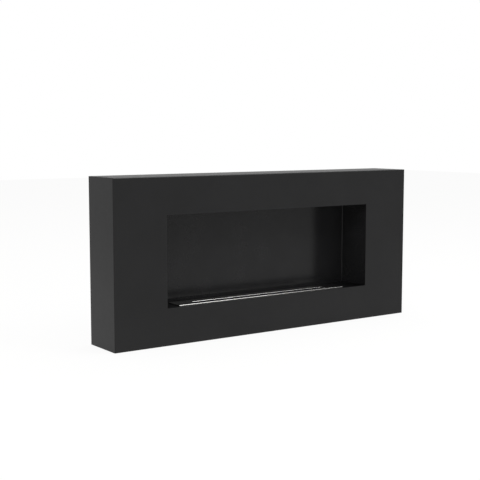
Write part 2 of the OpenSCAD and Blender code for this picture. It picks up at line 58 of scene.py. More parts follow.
# The sockets that a Mix node uses for values and for colours. Several of them share a name.
VALUE_A, VALUE_B = 2, 3
COLOUR_A, COLOUR_B, COLOUR_MIXED = 6, 7, 2
# A vector shorter than this has no direction worth following.
TINY = 1e-3

Colour = tuple[float, float, float, float]
Point = tuple[float, float, float]
Faces = list[tuple[int, ...]]


class Slot(Enum):
    """Material slot names for the new pieces, which nothing in the script gives them."""

    FIREBOX_COAT = "firebox_coat"
    TANK_STAINLESS = "tank_stainless"
    CERAMIC_WOOL = "ceramic_wool"


class Body(Enum):
    """The bodies that the new pieces ride on."""

    CASING = "casing"
    BURNER = "burner"


def linear(hex_colour: str) -> Colour:
    """Turns an sRGB hex colour into a linear one.

    Args:
        hex_colour: six hex digits after a hash.

    Returns:
        Red, green, blue and an alpha of 1.
    """
    parts = []
    for start in (1, 3, 5):
        value = int(hex_colour[start:start + 2], 16) / 255
        parts.append(value / 12.92 if value <= 0.04045 else ((value + 0.055) / 1.055) ** 2.4)
    return (parts[0], parts[1], parts[2], 1.0)


def add_node(tree: bpy.types.NodeTree, kind: str, inputs: dict | None = None,
             **settings: object) -> bpy.types.Node:
    """Adds a node with its settings, its fixed inputs and its links.

    Args:
        tree: the node tree that gets the node.
        kind: the node's type, without its ShaderNode prefix.
        inputs: a socket or a fixed value for each input, by name or by number.
        settings: the node's own properties.

    Returns:
        The new node.
    """
    made = tree.nodes.new("ShaderNode" + kind)
    for name, value in settings.items():
        setattr(made, name, value)
    for key, value in (inputs or {}).items():
        if isinstance(value, bpy.types.NodeSocket):
            tree.links.new(value, made.inputs[key])
        else:
            made.inputs[key].default_value = value
    return made


@dataclass(frozen=True)
class Finish:
    """What every finish has: a name, and a surface that its own class shades."""

    name: str

    def shade(self, tree: bpy.types.NodeTree, place: bpy.types.NodeSocket) -> bpy.types.Node:
        """Builds the surface's nodes.

        Args:
            tree: the material's node tree.
            place: the point on the object, in metres.

        Returns:
            The surface's shader node.
        """
        raise NotImplementedError

    def material(self) -> bpy.types.Material:
        """Gives the finish's material, and makes it on first use.

        Returns:
            The material.
        """
        made = bpy.data.materials.get(self.name)
        if made is None:
            made = bpy.data.materials.new(self.name)
            made.use_nodes = True
            tree = made.node_tree
            tree.nodes.clear()
            place = add_node(tree, "TexCoord").outputs["Object"]
            surface = self.shade(tree, place)
            add_node(tree, "OutputMaterial", {"Surface": surface.outputs[0]})
        return made

    def lay_on(self, piece: bpy.types.Object) -> None:
        """Puts the finish on all of a piece."""
        piece.data.materials.clear()
        piece.data.materials.append(self.material())


def speckle(tree: bpy.types.NodeTree, place: bpy.types.NodeSocket, size: float, detail: float,
            stretch: Point = (1.0, 1.0, 1.0)) -> bpy.types.NodeSocket:
    """Adds a soft random pattern whose cells have a real size.

    Args:
        tree: the material's node tree.
        place: the point on the object, in metres.
        size: the width of one cell in metres.
        detail: how many finer octaves lie over it.
        stretch: how much finer the cells are along X, Y and Z.

    Returns:
        A value round 0.5.
    """
    scaled = add_node(tree, "Mapping", {"Vector": place, "Scale": stretch})
    return add_node(tree, "TexNoise", {"Vector": scaled.outputs[0], "Scale": 1 / size, "Detail": detail,
                                       "Roughness": 0.55}).outputs["Fac"]


def drifting_colour(tree: bpy.types.NodeTree, pattern: bpy.types.NodeSocket,
                    first: Colour | bpy.types.NodeSocket, second: Colour,
                    start: float = NOISE_BAND["From Min"],
                    end: float = NOISE_BAND["From Max"]) -> bpy.types.NodeSocket:
    """Adds a colour that goes smoothly from one to another as a pattern rises.

    Args:
        tree: the material's node tree.
        pattern: the value that the colour follows.
        first: the colour where the pattern is low.
        second: the colour where the pattern is high.
        start: the value up to which the colour is the first one.
        end: the value from which it is the second one.

    Returns:
        The colour.
    """
    share = add_node(tree, "MapRange", {"Value": pattern, "From Min": start, "From Max": end, "To Min": 0.0,
                                        "To Max": 1.0}, interpolation_type="SMOOTHSTEP")
    return add_node(tree, "Mix", {"Factor": share.outputs["Result"], COLOUR_A: first, COLOUR_B: second},
                    data_type="RGBA").outputs[COLOUR_MIXED]


@dataclass(frozen=True)
class PowderCoat(Finish):
    """Polyester powder, sprayed dry on steel and baked.

    It melts into a skin with a soft orange peel. What the eye sees is mostly what the skin mirrors: dark
    where it faces the lens, and pale where the lens glances along it.
    """

    tint: str
    tint_high: str
    roughness: float
    glossier: float = 0.02
    duller: float = 0.025
    cloud: float = 90 * MM
    gloss_patch: float = 14 * MM
    peel: float = 2.4 * MM
    peel_depth: float = 0.012 * MM
    grain: float = 0.7 * MM
    grain_share: float = 1 / 6
    ior: float = 1.5

    def shade(self, tree: bpy.types.NodeTree, place: bpy.types.NodeSocket) -> bpy.types.Node:
        """Builds a thin plastic skin over a nearly black ground.

        Args:
            tree: the material's node tree.
            place: the point on the object, in metres.

        Returns:
            The surface's shader node.
        """
        cloud = speckle(tree, place, self.cloud, detail=3.0)
        gloss = speckle(tree, place, self.gloss_patch, detail=4.0)
        grain = speckle(tree, place, self.grain, detail=1.0)
        peel = speckle(tree, place, self.peel, detail=1.5)
        fine = add_node(tree, "Bump", {"Height": grain, "Distance": self.peel_depth * self.grain_share,
                                       "Strength": 0.6})
        skin = add_node(tree, "Bump", {"Height": peel, "Distance": self.peel_depth, "Strength": 0.6,
                                       "Normal": fine.outputs[0]})
        roughness = add_node(tree, "MapRange", {"Value": gloss, **NOISE_BAND,
                                                "To Min": self.roughness - self.glossier,
                                                "To Max": self.roughness + self.duller},
                             interpolation_type="SMOOTHSTEP")
        return add_node(tree, "BsdfPrincipled", {
            "Base Color": drifting_colour(tree, cloud, linear(self.tint), linear(self.tint_high)),
            "Roughness": roughness.outputs["Result"], "IOR": self.ior, "Normal": skin.outputs[0]})


@dataclass(frozen=True)
class HeatResistantCoat(Finish):
    """Silicone resin paint, sprayed wet and stoved, which stands the heat of the flame.

    It flows flatter than powder, so the sheets mirror one another softly, and it carries the faint dry
    grain of the spray.
    """

    tint: str
    tint_high: str
    roughness: float
    glossier: float = 0.015
    duller: float = 0.02
    ior: float = 1.5
    cloud: float = 60 * MM
    spray_grain: float = 0.9 * MM
    spray_depth: float = 0.001 * MM
    flow: float = 9 * MM
    flow_depth: float = 0.004 * MM

    def shade(self, tree: bpy.types.NodeTree, place: bpy.types.NodeSocket) -> bpy.types.Node:
        """Builds a flowed paint skin with a faint spray grain.

        Args:
            tree: the material's node tree.
            place: the point on the object, in metres.

        Returns:
            The surface's shader node.
        """
        cloud = speckle(tree, place, self.cloud, detail=3.0)
        dry = speckle(tree, place, self.spray_grain, detail=2.0)
        flow = speckle(tree, place, self.flow, detail=1.0)
        grain = add_node(tree, "Bump", {"Height": dry, "Distance": self.spray_depth, "Strength": 0.5})
        skin = add_node(tree, "Bump", {"Height": flow, "Distance": self.flow_depth, "Strength": 0.5,
                                       "Normal": grain.outputs[0]})
        roughness = add_node(tree, "MapRange", {"Value": dry, **NOISE_BAND,
                                                "To Min": self.roughness - self.glossier,
                                                "To Max": self.roughness + self.duller},
                             interpolation_type="SMOOTHSTEP")
        return add_node(tree, "BsdfPrincipled", {
            "Base Color": drifting_colour(tree, cloud, linear(self.tint), linear(self.tint_high)),
            "Roughness": roughness.outputs["Result"], "IOR": self.ior, "Normal": skin.outputs[0]})


@dataclass(frozen=True)
class BrushedStainless(Finish):
    """Stainless sheet ground along its length with a 240 grit belt.

    The scratches run with the slot and draw the light into a soft band across it. They are about 0.1 mm
    wide on the real sheet, and 0.35 mm here, so that they show.
    """

    tint: str = "#d6d5d3"
    tint_low: str = "#cac9c7"
    roughness: float = 0.15
    glossier: float = 0.03
    duller: float = 0.04
    scratch: float = 0.35 * MM
    scratch_length: float = 60 * MM
    scratch_depth: float = 0.003 * MM
    band: float = 3 * MM
    band_length: float = 150 * MM

    def shade(self, tree: bpy.types.NodeTree, place: bpy.types.NodeSocket) -> bpy.types.Node:
        """Builds long scratches along X over a bare metal.

        Args:
            tree: the material's node tree.
            place: the point on the object, in metres.

        Returns:
            The surface's shader node.
        """
        scratches = speckle(tree, place, self.scratch, detail=2.0,
                            stretch=(self.scratch / self.scratch_length, 1.0, 1.0))
        bands = speckle(tree, place, self.band, detail=2.0, stretch=(self.band / self.band_length, 1.0, 1.0))
        cut = add_node(tree, "Bump", {"Height": scratches, "Distance": self.scratch_depth, "Strength": 0.7})
        roughness = add_node(tree, "MapRange", {"Value": scratches, **NOISE_BAND,
                                                "To Min": self.roughness - self.glossier,
                                                "To Max": self.roughness + self.duller},
                             interpolation_type="SMOOTHSTEP")
        return add_node(tree, "BsdfPrincipled", {
            "Base Color": drifting_colour(tree, bands, linear(self.tint), linear(self.tint_low)),
            "Metallic": 1.0, "Roughness": roughness.outputs["Result"], "Normal": cut.outputs[0]})


@dataclass(frozen=True)
class MillStainless(Finish):
    """Cold rolled stainless sheet as the mill delivers it, pickled and skin passed.

    It is greyer and cloudier than brushed sheet, with only a trace of the rolling direction. Towards its
    upper edge, where it lies under the trim, it is darkened with painted shade: straw first, then bronze,
    and a dull slate at the top.
    """

    tint: str = "#bdbcba"
    tint_low: str = "#b1b0ae"
    straw: str = "#9c8a6c"
    bronze: str = "#5f5147"
    slate: str = "#45464a"
    straw_at: float = 0.35
    bronze_at: float = 0.7
    cool_z: float = 64 * MM
    hot_z: float = 84 * MM
    tint_wander: float = 6 * MM
    draught: float = 70 * MM
    cloud: float = 16 * MM
    rolling: float = 0.8 * MM
    rolling_stretch: float = 0.03
    rolling_depth: float = 0.003 * MM
    roughness: float = 0.17
    gloss_change: float = 0.03

    def shade(self, tree: bpy.types.NodeTree, place: bpy.types.NodeSocket) -> bpy.types.Node:
        """Builds a cloudy bare metal with faint rolling lines, darkened with painted shade towards its top.

        Args:
            tree: the material's node tree.
            place: the point on the object, in metres.

        Returns:
            The surface's shader node.
        """
        cloud = speckle(tree, place, self.cloud, detail=4.0)
        rolling = speckle(tree, place, self.rolling, detail=1.0, stretch=(self.rolling_stretch, 1.0, 1.0))
        lines = add_node(tree, "Bump", {"Height": rolling, "Distance": self.rolling_depth, "Strength": 0.6})
        # Painted shade: the colour darkens with height towards the top of the parts under the trim, through
        # straw and bronze to a dull slate; heat is the share of that shade.
        height = add_node(tree, "SeparateXYZ", {"Vector": place}).outputs["Z"]
        draught = speckle(tree, place, self.draught, detail=1.0)
        wander = add_node(tree, "Math", {0: draught, 1: self.tint_wander, 2: height},
                          operation="MULTIPLY_ADD")
        heat = add_node(tree, "MapRange", {"Value": wander.outputs[0], "From Min": self.cool_z,
                                           "From Max": self.hot_z, "To Min": 0.0, "To Max": 1.0},
                        interpolation_type="SMOOTHSTEP").outputs["Result"]
        bare = drifting_colour(tree, cloud, linear(self.tint), linear(self.tint_low))
        warmed = drifting_colour(tree, heat, bare, linear(self.straw), 0.0, self.straw_at)
        darker = drifting_colour(tree, heat, warmed, linear(self.bronze), self.straw_at, self.bronze_at)
        roughness = add_node(tree, "MapRange", {"Value": cloud, **NOISE_BAND,
                                                "To Min": self.roughness - self.gloss_change,
                                                "To Max": self.roughness + self.gloss_change},
                             interpolation_type="SMOOTHSTEP")
        return add_node(tree, "BsdfPrincipled", {
            "Base Color": drifting_colour(tree, heat, darker, linear(self.slate), self.bronze_at, 1.0),
            "Metallic": 1.0, "Roughness": roughness.outputs["Result"], "Normal": lines.outputs[0]})


@dataclass(frozen=True)
class HotDipZinc(Finish):
    """Steel sheet dipped in molten zinc, which freezes in spangles.

    Each spangle is one crystal with its own tone and its own gloss.
    """

    tint: str = "#c3c7c9"
    tint_low: str = "#8f969b"
    roughness: float = 0.32
    roughness_high: float = 0.52
    spangle: float = 9 * MM
    feather: float = 1.6 * MM
    feather_depth: float = 0.01 * MM

    def shade(self, tree: bpy.types.NodeTree, place: bpy.types.NodeSocket) -> bpy.types.Node:
        """Builds crystals, each with its own tone and gloss.

        Args:
            tree: the material's node tree.
            place: the point on the object, in metres.

        Returns:
            The surface's shader node.
        """
        crystal = add_node(tree, "TexVoronoi", {"Vector": place, "Scale": 1 / self.spangle},
                           distance="EUCLIDEAN")
        tone = add_node(tree, "SeparateColor", {"Color": crystal.outputs["Color"]}).outputs[0]
        feather = speckle(tree, place, self.feather, detail=3.0)
        etched = add_node(tree, "Bump", {"Height": feather, "Distance": self.feather_depth, "Strength": 0.5})
        colour = add_node(tree, "Mix", {"Factor": tone, COLOUR_A: linear(self.tint_low),
                                        COLOUR_B: linear(self.tint)}, data_type="RGBA")
        roughness = add_node(tree, "MapRange", {"Value": tone, "From Min": 0.0, "From Max": 1.0,
                                                "To Min": self.roughness, "To Max": self.roughness_high},
                             interpolation_type="SMOOTHSTEP")
        return add_node(tree, "BsdfPrincipled", {
            "Base Color": colour.outputs[COLOUR_MIXED], "Metallic": 1.0,
            "Roughness": roughness.outputs["Result"], "Normal": etched.outputs[0]})


@dataclass(frozen=True)
class ZincPlate(Finish):
    """Small steel parts barrel plated with zinc and passivated.

    The plate is bright and even, with a trace of blue and yellow that drifts over each part.
    """

    tint_cool: str = "#c2c9d1"
    tint_warm: str = "#cfcbb9"
    roughness: float = 0.27
    glossier: float = 0.05
    duller: float = 0.08
    drift: float = 5 * MM
    dent: float = 0.5 * MM
    dent_depth: float = 0.008 * MM

    def shade(self, tree: bpy.types.NodeTree, place: bpy.types.NodeSocket) -> bpy.types.Node:
        """Builds a bright plate whose hue drifts.

        Args:
            tree: the material's node tree.
            place: the point on the object, in metres.

        Returns:
            The surface's shader node.
        """
        drift = speckle(tree, place, self.drift, detail=2.0)
        tumbled = speckle(tree, place, self.dent, detail=2.0)
        dents = add_node(tree, "Bump", {"Height": tumbled, "Distance": self.dent_depth, "Strength": 0.5})
        roughness = add_node(tree, "MapRange", {"Value": tumbled, **NOISE_BAND,
                                                "To Min": self.roughness - self.glossier,
                                                "To Max": self.roughness + self.duller},
                             interpolation_type="SMOOTHSTEP")
        return add_node(tree, "BsdfPrincipled", {
            "Base Color": drifting_colour(tree, drift, linear(self.tint_cool), linear(self.tint_warm)),
            "Metallic": 1.0, "Roughness": roughness.outputs["Result"], "Normal": dents.outputs[0]})


@dataclass(frozen=True)
class WeldMetal(Finish):
    """The bead that an arc leaves on stainless sheet, brushed but not ground.

    Its ripples are bright, and the heat leaves a trace of straw colour between them.
    """

    tint: str = "#c6c2ba"
    tint_straw: str = "#a58f66"
    straw_from: float = 0.45
    straw_to: float = 0.75
    roughness: float = 0.26
    roughness_high: float = 0.42
    heat: float = 4 * MM
    pore: float = 0.4 * MM
    pore_depth: float = 0.01 * MM

    def shade(self, tree: bpy.types.NodeTree, place: bpy.types.NodeSocket) -> bpy.types.Node:
        """Builds bright metal with straw coloured stretches.

        Args:
            tree: the material's node tree.
            place: the point on the object, in metres.

        Returns:
            The surface's shader node.
        """
        heat = speckle(tree, place, self.heat, detail=3.0)
        pores = speckle(tree, place, self.pore, detail=2.0)
        pitted = add_node(tree, "Bump", {"Height": pores, "Distance": self.pore_depth, "Strength": 0.6})
        colour = drifting_colour(tree, heat, linear(self.tint), linear(self.tint_straw), self.straw_from,
                                 self.straw_to)
        roughness = add_node(tree, "MapRange", {"Value": pores, **NOISE_BAND, "To Min": self.roughness,
                                                "To Max": self.roughness_high},
                             interpolation_type="SMOOTHSTEP")
        return add_node(tree, "BsdfPrincipled", {
            "Base Color": colour, "Metallic": 1.0, "Roughness": roughness.outputs["Result"],
            "Normal": pitted.outputs[0]})


@dataclass(frozen=True)
class CeramicFelt(Finish):
    """Alumina and silica fibre, spun and needled into a soft white blanket.

    The fibres are about 3 microns thick. Tufts of them 0.5 mm wide are drawn here, so that they show.
    """

    tint: str = "#f3f0e8"
    tint_shade: str = "#dcd7cb"
    tuft: float = 0.5 * MM
    tuft_length: float = 2 * MM
    tuft_depth: float = 0.25 * MM
    needling: float = 4 * MM
    needling_depth: float = 0.4 * MM
    roughness: float = 0.95
    ior: float = 1.45
    sheen: float = 0.15

    def shade(self, tree: bpy.types.NodeTree, place: bpy.types.NodeSocket) -> bpy.types.Node:
        """Builds matt white tufts that lie mostly along the blanket, with painted shade in the hollows
        between them.

        Args:
            tree: the material's node tree.
            place: the point on the object, in metres.

        Returns:
            The surface's shader node.
        """
        tufts = speckle(tree, place, self.tuft, detail=4.0, stretch=(self.tuft / self.tuft_length, 1.0, 1.0))
        needled = speckle(tree, place, self.needling, detail=2.0)
        nap = add_node(tree, "Bump", {"Height": tufts, "Distance": self.tuft_depth, "Strength": 0.8})
        dents = add_node(tree, "Bump", {"Height": needled, "Distance": self.needling_depth, "Strength": 0.5,
                                        "Normal": nap.outputs[0]})
        # Painted shade: the colour follows the tufts' bump, darker where it is low, in the hollows between
        # the tufts.
        return add_node(tree, "BsdfPrincipled", {
            "Base Color": drifting_colour(tree, tufts, linear(self.tint_shade), linear(self.tint)),
            "Roughness": self.roughness, "IOR": self.ior, "Sheen Weight": self.sheen,
            "Normal": dents.outputs[0]})


CASING_BLACK = PowderCoat("satin_black_powder_coat", "#111112", "#141415", roughness=0.3)
FRAME_BLACK = PowderCoat("frame_black_powder_coat", "#141416", "#18181a", roughness=0.38, peel=1.8 * MM)
REAR_BLACK = PowderCoat("matt_black_powder_coat", "#17171a", "#1c1c1f", roughness=0.46, peel=1.4 * MM,
                        peel_depth=0.02 * MM)
FIREBOX_BLACK = HeatResistantCoat("heat_resistant_satin_black", "#1b1b1c", "#1f1f20", roughness=0.27)
FIREBOX_FLOOR_BLACK = HeatResistantCoat("heat_resistant_matt_black", "#0c0c0d", "#0f0f10", roughness=0.55,
                                        ior=1.3)
BACK_PANEL_BLACK = HeatResistantCoat("heat_resistant_semi_gloss_black", "#1a1a1b", "#1e1e1f", roughness=0.2,
                                     ior=1.45)
FIREBOX_SEAL = HeatResistantCoat("heat_resistant_black_seal", "#141415", "#18181a", roughness=0.3)
BRUSHED_TRIM = BrushedStainless("brushed_stainless")
MILL_STAINLESS = MillStainless("mill_finish_stainless")
SPANGLED_ZINC = HotDipZinc("hot_dip_zinc")
BRIGHT_ZINC = ZincPlate("barrel_plated_zinc")
WELD = WeldMetal("brushed_weld_bead")
FELT = CeramicFelt("ceramic_fibre_felt")


def new_piece(name: str, points: list[Point], faces: Faces, finish: Finish, body: Body) -> bpy.types.Object:
    """Makes a mesh piece that rides on a body and is shaded as one smooth skin.

    Args:
        name: the piece's name.
        points: its vertices in metres.
        faces: the numbers of each face's vertices.
        finish: what it is finished in.
        body: the body that it rides on.

    Returns:
        The new object.
    """
    mesh = bpy.data.meshes.new(name)
    mesh.from_pydata(points, [], faces)
    mesh.validate()
    mesh.polygons.foreach_set("use_smooth", [True] * len(mesh.polygons))
    piece = bpy.data.objects.new(name, mesh)
    bpy.context.scene.collection.objects.link(piece)
    finish.lay_on(piece)
    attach(piece, body.value)
    LOG.info("made %s with %d faces on %s", name, len(faces), body.value)
    return piece


def dress(finish: Finish, *nodes: str) -> None:
    """Puts a finish on nodes of the frame, whose shapes are right as they are.

    Args:
        finish: what they are finished in.
        nodes: their names.
    """
    for name in nodes:
        finish.lay_on(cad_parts[name])
        LOG.info("dressed %s in %s", name, finish.name)


def skin(rings: list[list[Point]]) -> tuple[list[Point], Faces]:
    """Joins rings of equally many points into a tube with capped ends.

    Args:
        rings: the rings, all turning the same way.

    Returns:
        The points and the faces.
    """
    count = len(rings[0])
    points = [point for ring in rings for point in ring]
    faces: Faces = []
    for i in range(len(rings) - 1):
        here, there = i * count, (i + 1) * count
        faces += [(here + k, here + (k + 1) % count, there + (k + 1) % count, there + k)
                  for k in range(count)]
    faces.append(tuple(reversed(range(count))))
    faces.append(tuple(range(len(points) - count, len(points))))
    return points, faces


def tube(path: list[Vector], radii: list[float], sides: int) -> tuple[list[Point], Faces]:
    """Sweeps a round section along a path.

    Args:
        path: the points of the centreline.
        radii: the section's radius at each point.
        sides: how many sides the section has.

    Returns:
        The points and the faces.
    """
    rings = []
    side = Vector((0.0, 0.0, 1.0))
    for i, (centre, radius) in enumerate(zip(path, radii)):
        ahead = (path[min(i + 1, len(path) - 1)] - path[max(i - 1, 0)]).normalized()
        side = side - ahead * side.dot(ahead)
        if side.length < TINY:
            side = ahead.orthogonal()
        side.normalize()
        across = ahead.cross(side)
        turns = [2 * math.pi * k / sides for k in range(sides)]
        rings.append([tuple(centre + radius * (side * math.cos(t) + across * math.sin(t))) for t in turns])
    return skin(rings)


@dataclass
class Casing:
    """The folded steel box, its weld studs and the welded frame inside its rear edge."""

    def dress(self) -> None:
        """Coats the box and its frame, and plates its studs."""
        dress(CASING_BLACK, "front_casing")
        dress(FRAME_BLACK, "rear_frame_rails", "rear_frame_stiles")
        dress(BRIGHT_ZINC, "front_plate_studs")


@dataclass
class Firebox:
    """The sheets round the flame, what holds and shields them, and the seals in their rear corners."""

    seal_radius: float = 2.2 * MM
    seal_depth: float = 0.2 * MM
    seal_skin: float = 0.02 * MM
    seal_step: float = 4 * MM
    seal_wander: float = 0.12 * MM
    seal_wander_length: float = 25 * MM
    seal_points: int = 9

    def dress(self) -> None:
        """Paints the sheets that the flame lights, finishes what carries them, and seals the corners."""
        dress(FIREBOX_BLACK, "firebox_ceiling", "firebox_left_wall", "firebox_right_wall")
        dress(FIREBOX_FLOOR_BLACK, "firebox_floor")
        dress(BACK_PANEL_BLACK, "firebox_back_tray")
        dress(BRIGHT_ZINC, "firebox_nuts", "firebox_rivets", "heat_shield_studs", "heat_shield_spacers",
              "heat_shield_nuts")
        dress(SPANGLED_ZINC, "floor_brackets", "burner_well", "ceiling_heat_shield")
        for side, wall in ((-1, "left"), (1, "right")):
            low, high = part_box(f"firebox_{wall}_wall")
            self.corner_seal(wall, side, high.x if side < 0 else low.x, high.y)

    def corner_seal(self, name: str, side: int, wall_x: float, back_y: float) -> None:
        """Makes the bead that a fingertip has drawn down the corner of a wall and the back.

        Args:
            name: the side's name.
            side: -1 on the left and 1 on the right.
            wall_x: where the wall's face is.
            back_y: where the back panel's face is.
        """
        low_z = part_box("firebox_floor")[1].z
        high_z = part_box("firebox_ceiling")[0].z
        count = round((high_z - low_z) / self.seal_step)
        hollow = [k * math.pi / 2 / self.seal_points for k in range(self.seal_points + 1)]
        rings = []
        for i in range(count + 1):
            z = low_z + (high_z - low_z) * i / count
            wander = noise.noise(Vector((side / 2, 0.0, z / self.seal_wander_length)))
            radius = self.seal_radius + self.seal_wander * wander
            edge = radius + self.seal_depth
            outline = [(edge, -self.seal_skin)]
            outline += [(radius * (1 - math.sin(t)), radius * (1 - math.cos(t))) for t in hollow]
            outline += [(-self.seal_skin, edge), (-self.seal_depth, edge),
                        (-self.seal_depth, -self.seal_depth), (edge, -self.seal_depth)]
            ring = [(wall_x - side * inwards, back_y - forwards, z) for inwards, forwards in outline]
            rings.append(ring[::side])
        points, faces = skin(rings)
        new_piece(f"{name}_corner_seal", points, faces, FIREBOX_SEAL, Body.CASING)


@dataclass
class RearCover:
    """The flat cover behind the casing, with its keyholes and its screws."""

    def dress(self) -> None:
        """Coats the cover and plates its fasteners."""
        dress(REAR_BLACK, "rear_cover", "keyhole_plates")
        dress(BRIGHT_ZINC, "rear_rivet_nuts", "rear_cover_screws", "keyhole_plate_rivets")


@dataclass
class Burner:
    """The stainless slot burner: its trim, tank, felt, grid and rails.

    The felt lies in layers with a groove between each two. Towards each end it narrows by felt_taper, over
    a stretch of 1 / felt_taper_rate of its length. A fibre is a path of fibre_parts straight parts.
    """

    felt_layers: int = 3
    felt_groove: float = 0.7 * MM
    felt_crown: float = 0.9 * MM
    felt_step: float = 2.4 * MM
    felt_lump: float = 11 * MM
    felt_pit: float = 3 * MM
    felt_rough: float = 0.35 * MM
    felt_layer_points: int = 10
    felt_top_points: int = 14
    felt_taper: float = 0.04
    felt_taper_rate: float = 12.0
    fibre_seed: int = 7
    fibre_count: int = 420
    fibre_radius: float = 0.07 * MM
    fibre_sides: int = 4
    fibre_reach: float = 5 * MM
    fibre_shortest: float = 0.4
    fibre_parts: int = 5
    fibre_spread: float = 0.7
    fibre_bend: float = 0.35
    fibre_root_inset: float = 2 * MM
    fibre_inset: float = 1.2 * MM
    fibre_sink: float = 0.6
    fibre_lift: float = 0.25 * MM
    bead_radius: float = 0.75 * MM
    bead_sides: int = 8
    bead_sink: float = 0.5 * MM
    bead_ripple: float = 0.09 * MM
    bead_below_rim: float = 2 * MM
    ripple_length: float = 1.6 * MM
    ripple_points: int = 4
    tank_fold: float = 2.5 * MM
    fold_points: int = 6

    def dress(self) -> None:
        """Finishes the burner's sheets, and makes its felt and its end welds."""
        dress(BRUSHED_TRIM, "burner_top_trim")
        dress(MILL_STAINLESS, "burner_tank", "burner_grid", "shutter_front_rail", "shutter_rear_rail")
        self.felt()
        self.loose_fibres()
        self.end_welds()

    def felt_height(self, x: float, y: float) -> float:
        """Measures how far the felt's top lies below its CAD block at a place on it.

        Args:
            x: the place along the felt.
            y: the place across it.

        Returns:
            The drop in metres.
        """
        low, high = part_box("ceramic_wool")
        across = abs(2 * (y - low.y) / (high.y - low.y) - 1)
        lump = 0.5 + 0.5 * noise.noise(Vector((x, y, 0.0)) / self.felt_lump)
        return self.felt_crown * across ** 3 + 2 * self.felt_rough * lump

    def felt(self) -> None:
        """Makes the blanket, folded in layers, whose top is crowned and uneven."""
        low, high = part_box("ceramic_wool")
        mid_y, half_w = (low.y + high.y) / 2, (high.y - low.y) / 2
        layer = (high.z - low.z) / self.felt_layers
        side_n, top_n = self.felt_layer_points * self.felt_layers, self.felt_top_points
        heights = [i / side_n for i in range(side_n + 1)]
        widths = [-1 + 2 * k / top_n for k in range(1, top_n)]
        outline = ([(1.0, h) for h in heights] + [(-w, 1.0) for w in widths]
                   + [(-1.0, 1 - h) for h in heights] + [(w, 0.0) for w in widths])
        count = round((high.x - low.x) / self.felt_step)
        rings = []
        for i in range(count + 1):
            along = i / count
            end = 1 - self.felt_taper * max(0.0, 1 - self.felt_taper_rate * min(along, 1 - along)) ** 2
            x = low.x + along * (high.x - low.x)
            ring = []
            for across, up in outline:
                z = low.z + up * (high.z - low.z)
                groove = self.felt_groove * (1 - math.sin(math.pi * ((z - low.z) / layer % 1.0))) ** 4
                pits = noise.noise(Vector((x, across * half_w, z)) / self.felt_pit)
                rough = self.felt_rough * (0.5 + 0.5 * pits)
                y = mid_y + across * end * (half_w - (groove + rough if abs(across) == 1.0 else 0.0))
                drop = self.felt_height(x, y) + rough if up == 1.0 else 0.0
                ring.append((x, y, z - drop))
            rings.append(ring)
        points, faces = skin(rings)
        piece = new_piece("ceramic_felt", points, faces, FELT, Body.BURNER)
        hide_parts("ceramic_wool")

    def loose_fibres(self) -> None:
        """Makes the stray fibres that lie on the felt, each a bent hair."""
        low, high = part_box("ceramic_wool")
        draw = random.Random(self.fibre_seed)
        points: list[Point] = []
        faces: Faces = []
        for _ in range(self.fibre_count):
            x = draw.uniform(low.x + self.fibre_reach, high.x - self.fibre_reach)
            y = draw.uniform(low.y + self.fibre_root_inset, high.y - self.fibre_root_inset)
            heading = draw.gauss(0.0, self.fibre_spread)
            turn = draw.uniform(-self.fibre_bend, self.fibre_bend)
            step = draw.uniform(self.fibre_shortest, 1.0) * self.fibre_reach / self.fibre_parts
            path = []
            for _ in range(self.fibre_parts + 1):
                y = min(max(y, low.y + self.fibre_inset), high.y - self.fibre_inset)
                top = high.z - self.felt_height(x, y) - self.fibre_sink * self.felt_rough
                lifted = top + draw.uniform(0.0, self.fibre_lift)
                path.append(Vector((x, y, min(lifted, high.z - self.fibre_radius))))
                x += step * math.cos(heading)
                y += step * math.sin(heading)
                heading += turn
            new_points, new_faces = tube(path, [self.fibre_radius] * len(path), self.fibre_sides)
            faces += [tuple(v + len(points) for v in face) for face in new_faces]
            points += new_points
        new_piece("felt_loose_fibres", points, faces, FELT, Body.BURNER)

    def end_welds(self) -> None:
        """Makes the rippled bead round each end plate of the tank."""
        low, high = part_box("burner_tank")
        for name, x in (("left", low.x + self.bead_sink), ("right", high.x - self.bead_sink)):
            path = self.end_outline(x)
            radii = []
            run = 0.0
            for i, point in enumerate(path):
                run += (point - path[i - 1]).length if i else 0.0
                swell = abs(math.sin(math.pi * run / self.ripple_length))
                radii.append(self.bead_radius - self.bead_ripple * swell)
            points, faces = tube(path, radii, self.bead_sides)
            new_piece(f"tank_{name}_end_weld", points, faces, WELD, Body.BURNER)

    def end_outline(self, x: float) -> list[Vector]:
        """Follows the tank's end down, along and up, a little inside its skin.

        Args:
            x: where the end is.

        Returns:
            Closely spaced points.
        """
        low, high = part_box("burner_tank")
        low_y, high_y = low.y + self.bead_sink, high.y - self.bead_sink
        low_z, high_z = low.z + self.bead_sink, high.z - self.bead_below_rim
        fold = self.tank_fold - self.bead_sink
        corners = [Vector((x, low_y, high_z)), Vector((x, low_y, low_z + fold))]
        for centre_y, start in ((low_y + fold, math.pi), (high_y - fold, 1.5 * math.pi)):
            for k in range(1, self.fold_points + 1):
                turn = start + k * math.pi / 2 / self.fold_points
                y, z = centre_y + fold * math.cos(turn), low_z + fold + fold * math.sin(turn)
                corners.append(Vector((x, y, z)))
        corners.append(Vector((x, high_y, high_z)))
        path = [corners[0]]
        for here, there in zip(corners, corners[1:]):
            count = max(1, round((there - here).length * self.ripple_points / self.ripple_length))
            path += [here.lerp(there, k / count) for k in range(1, count + 1)]
        return path


@dataclass
class Damper:
    """The sliding shutter that opens and shuts the windows of the grid."""

    def dress(self) -> None:
        """Finishes the shutter."""
        dress(MILL_STAINLESS, "damper_shutter")


